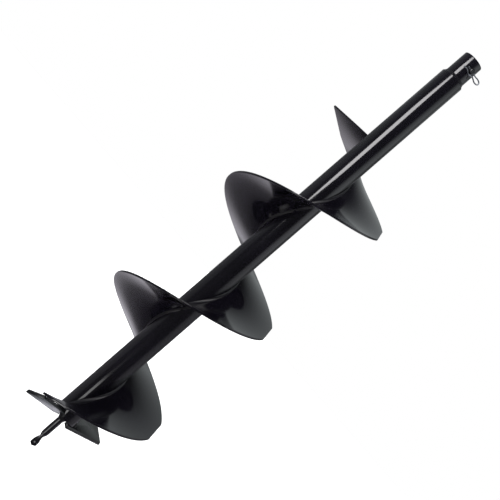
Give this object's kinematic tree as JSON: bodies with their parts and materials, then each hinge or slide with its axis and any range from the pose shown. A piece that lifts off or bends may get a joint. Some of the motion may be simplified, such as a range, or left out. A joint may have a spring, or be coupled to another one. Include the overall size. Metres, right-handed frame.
{
  "type": "earth auger bit",
  "caption": "Flighted earth auger bit with a helical plate on a tube, two cutter blades, a twisted pilot point and a round drive socket with a clip-held pin.",
  "frame": {"origin": "centre of the drive socket's mouth, on its rim plane", "axes": "+Z out of the socket along the auger's axis, towards the drive; the pilot point is at -Z; +X is the side where each flight blank has its straight edge"},
  "size_m": [0.2011, 0.205, 0.81],
  "materials": {
    "black_paint": "gloss",
    "blade_paint": "satin",
    "plain_steel": "satin",
    "zinc_wire": "zinc plated"
  },
  "bodies": {
    "auger_body": {"core_tube": "black_paint", "drive_socket": "black_paint", "socket_weld": "black_paint", "flight_lower": "black_paint", "flight_middle": "black_paint", "flight_upper": "black_paint", "flight_lower_weld": "black_paint", "flight_middle_weld": "black_paint", "flight_upper_weld": "black_paint", "flight_joint_weld_lower": "black_paint", "flight_joint_weld_upper": "black_paint", "blade_weld_far": "black_paint", "blade_weld_near": "black_paint", "blade_gusset_near": "black_paint", "blade_flight_weld": "black_paint", "pilot_point": "black_paint", "pilot_weld": "black_paint", "cutter_blade_far": "blade_paint", "cutter_blade_near": "blade_paint", "end_plug": "plain_steel"},
    "pin_body": {"drive_pin": "plain_steel"},
    "clip_body": {"r_clip": "zinc_wire"}
  },
  "joints": [
    {"name": "pin_slide", "type": "slide", "parent": "auger_body", "child": "pin_body", "axis": [-0.4462, 0.8949, 0], "range_m": [0, 0.06]},
    {"name": "clip_pull", "type": "slide", "parent": "auger_body", "child": "clip_body", "axis": [0.8949, 0.4462, 0], "range_m": [0, 0.05], "deforming": ["r_clip"]}
  ],
  "couplings": [
    {"joint": "clip_pull", "follows": "pin_slide", "ratio": 0.8333}
  ]
}
